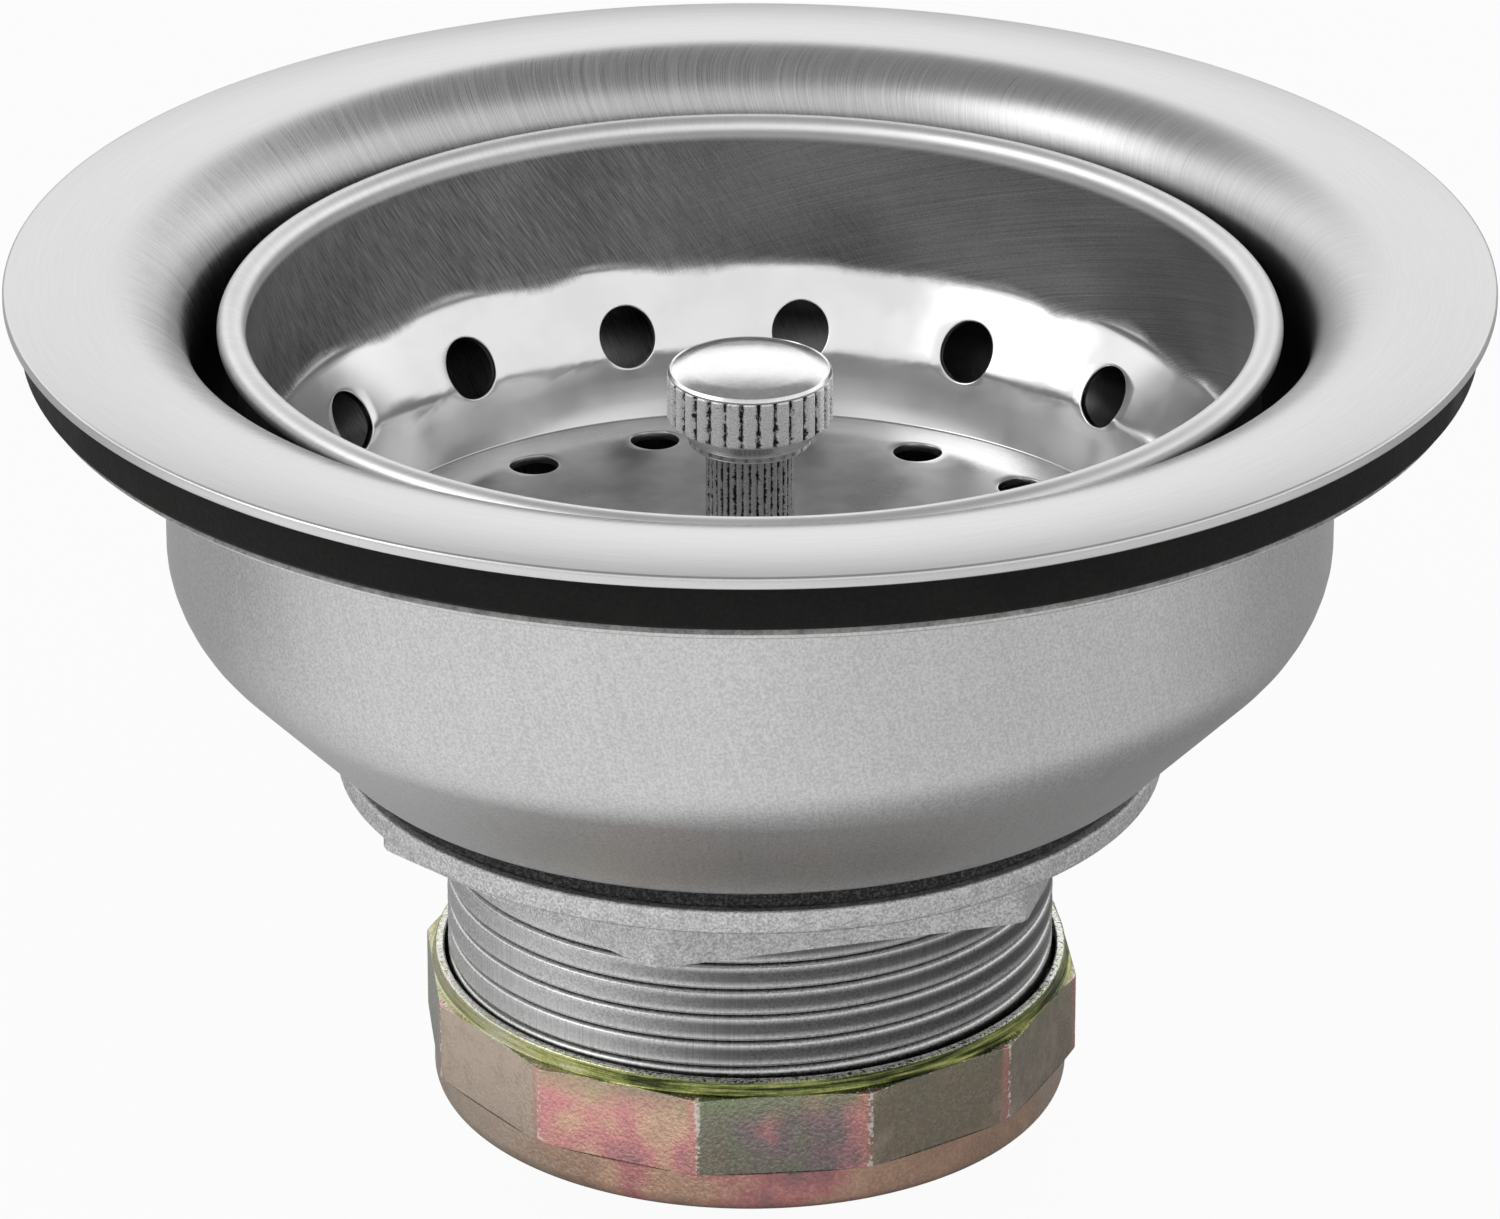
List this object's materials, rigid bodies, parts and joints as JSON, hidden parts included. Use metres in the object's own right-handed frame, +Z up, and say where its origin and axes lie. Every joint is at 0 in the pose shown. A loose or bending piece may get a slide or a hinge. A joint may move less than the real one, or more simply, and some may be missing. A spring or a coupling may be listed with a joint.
{
  "type": "basket strainer waste",
  "caption": "Sink basket strainer with a flanged inner cup, outer mounting cup and locknut, a lift-out perforated basket with knob and stopper, and a coupling nut on its threaded outlet.",
  "frame": {"origin": "on the drain's axis, in the plane of the flange's underside where it lies on the sink's deck", "axes": "+Z up along the drain's axis, out of the sink; +X to the right and +Y away as the picture shows it"},
  "size_m": [0.1142, 0.1142, 0.0686],
  "materials": {
    "brushed_steel": "circularly brushed stainless sheet",
    "satin_steel": "satin stainless sheet",
    "basket_steel": "stainless, brushed above and polished below",
    "black_rubber": "matt black rubber",
    "grey_fibre": "pressed fibre",
    "die_cast": "sandy die-cast zinc",
    "yellow_chromate": "iridescent yellow chromate over zinc",
    "white_poly": "polyethylene",
    "chrome": "bright chrome plate",
    "spring_steel": "plain stainless"
  },
  "bodies": {
    "strainer": {"strainer_body": "brushed_steel", "outlet_spigot": "die_cast", "spigot_gasket": "black_rubber"},
    "mounting": {"mounting_cup": "satin_steel", "sink_gasket": "black_rubber", "friction_washer": "grey_fibre", "locknut_gasket": "black_rubber"},
    "locknut": {"locknut": "die_cast"},
    "tail_washer": {"tailpiece_washer": "white_poly"},
    "coupling_nut": {"coupling_nut": "yellow_chromate"},
    "clip": {"stem_clip": "spring_steel"},
    "basket": {"basket": "basket_steel", "knob": "chrome", "stem": "chrome", "stopper": "black_rubber", "stopper_washer": "spring_steel", "stem_nut": "spring_steel"}
  },
  "joints": [
    {"name": "basket_lift", "type": "slide", "parent": "strainer", "child": "clip", "axis": [0, 0, 1], "range_m": [0, 0.048]},
    {"name": "basket_spin", "type": "hinge", "parent": "clip", "child": "basket", "pos_m": [0, 0, 0], "axis": [0, 0, 1], "continuous": true},
    {"name": "cup_travel", "type": "slide", "parent": "strainer", "child": "mounting", "axis": [0, 0, -1], "range_m": [0, 0.01105]},
    {"name": "locknut_turn", "type": "hinge", "parent": "mounting", "child": "locknut", "pos_m": [0, 0, 0], "axis": [0, 0, -1], "range_deg": [0, 1800]},
    {"name": "nut_travel", "type": "slide", "parent": "strainer", "child": "tail_washer", "axis": [0, 0, -1], "range_m": [0, 0.00663]},
    {"name": "nut_turn", "type": "hinge", "parent": "tail_washer", "child": "coupling_nut", "pos_m": [0, 0, 0], "axis": [0, 0, -1], "range_deg": [0, 1080]}
  ],
  "couplings": [
    {"joint": "cup_travel", "follows": "locknut_turn", "m_per_rad": 0.00035152},
    {"joint": "nut_travel", "follows": "nut_turn", "m_per_rad": 0.00035152}
  ]
}
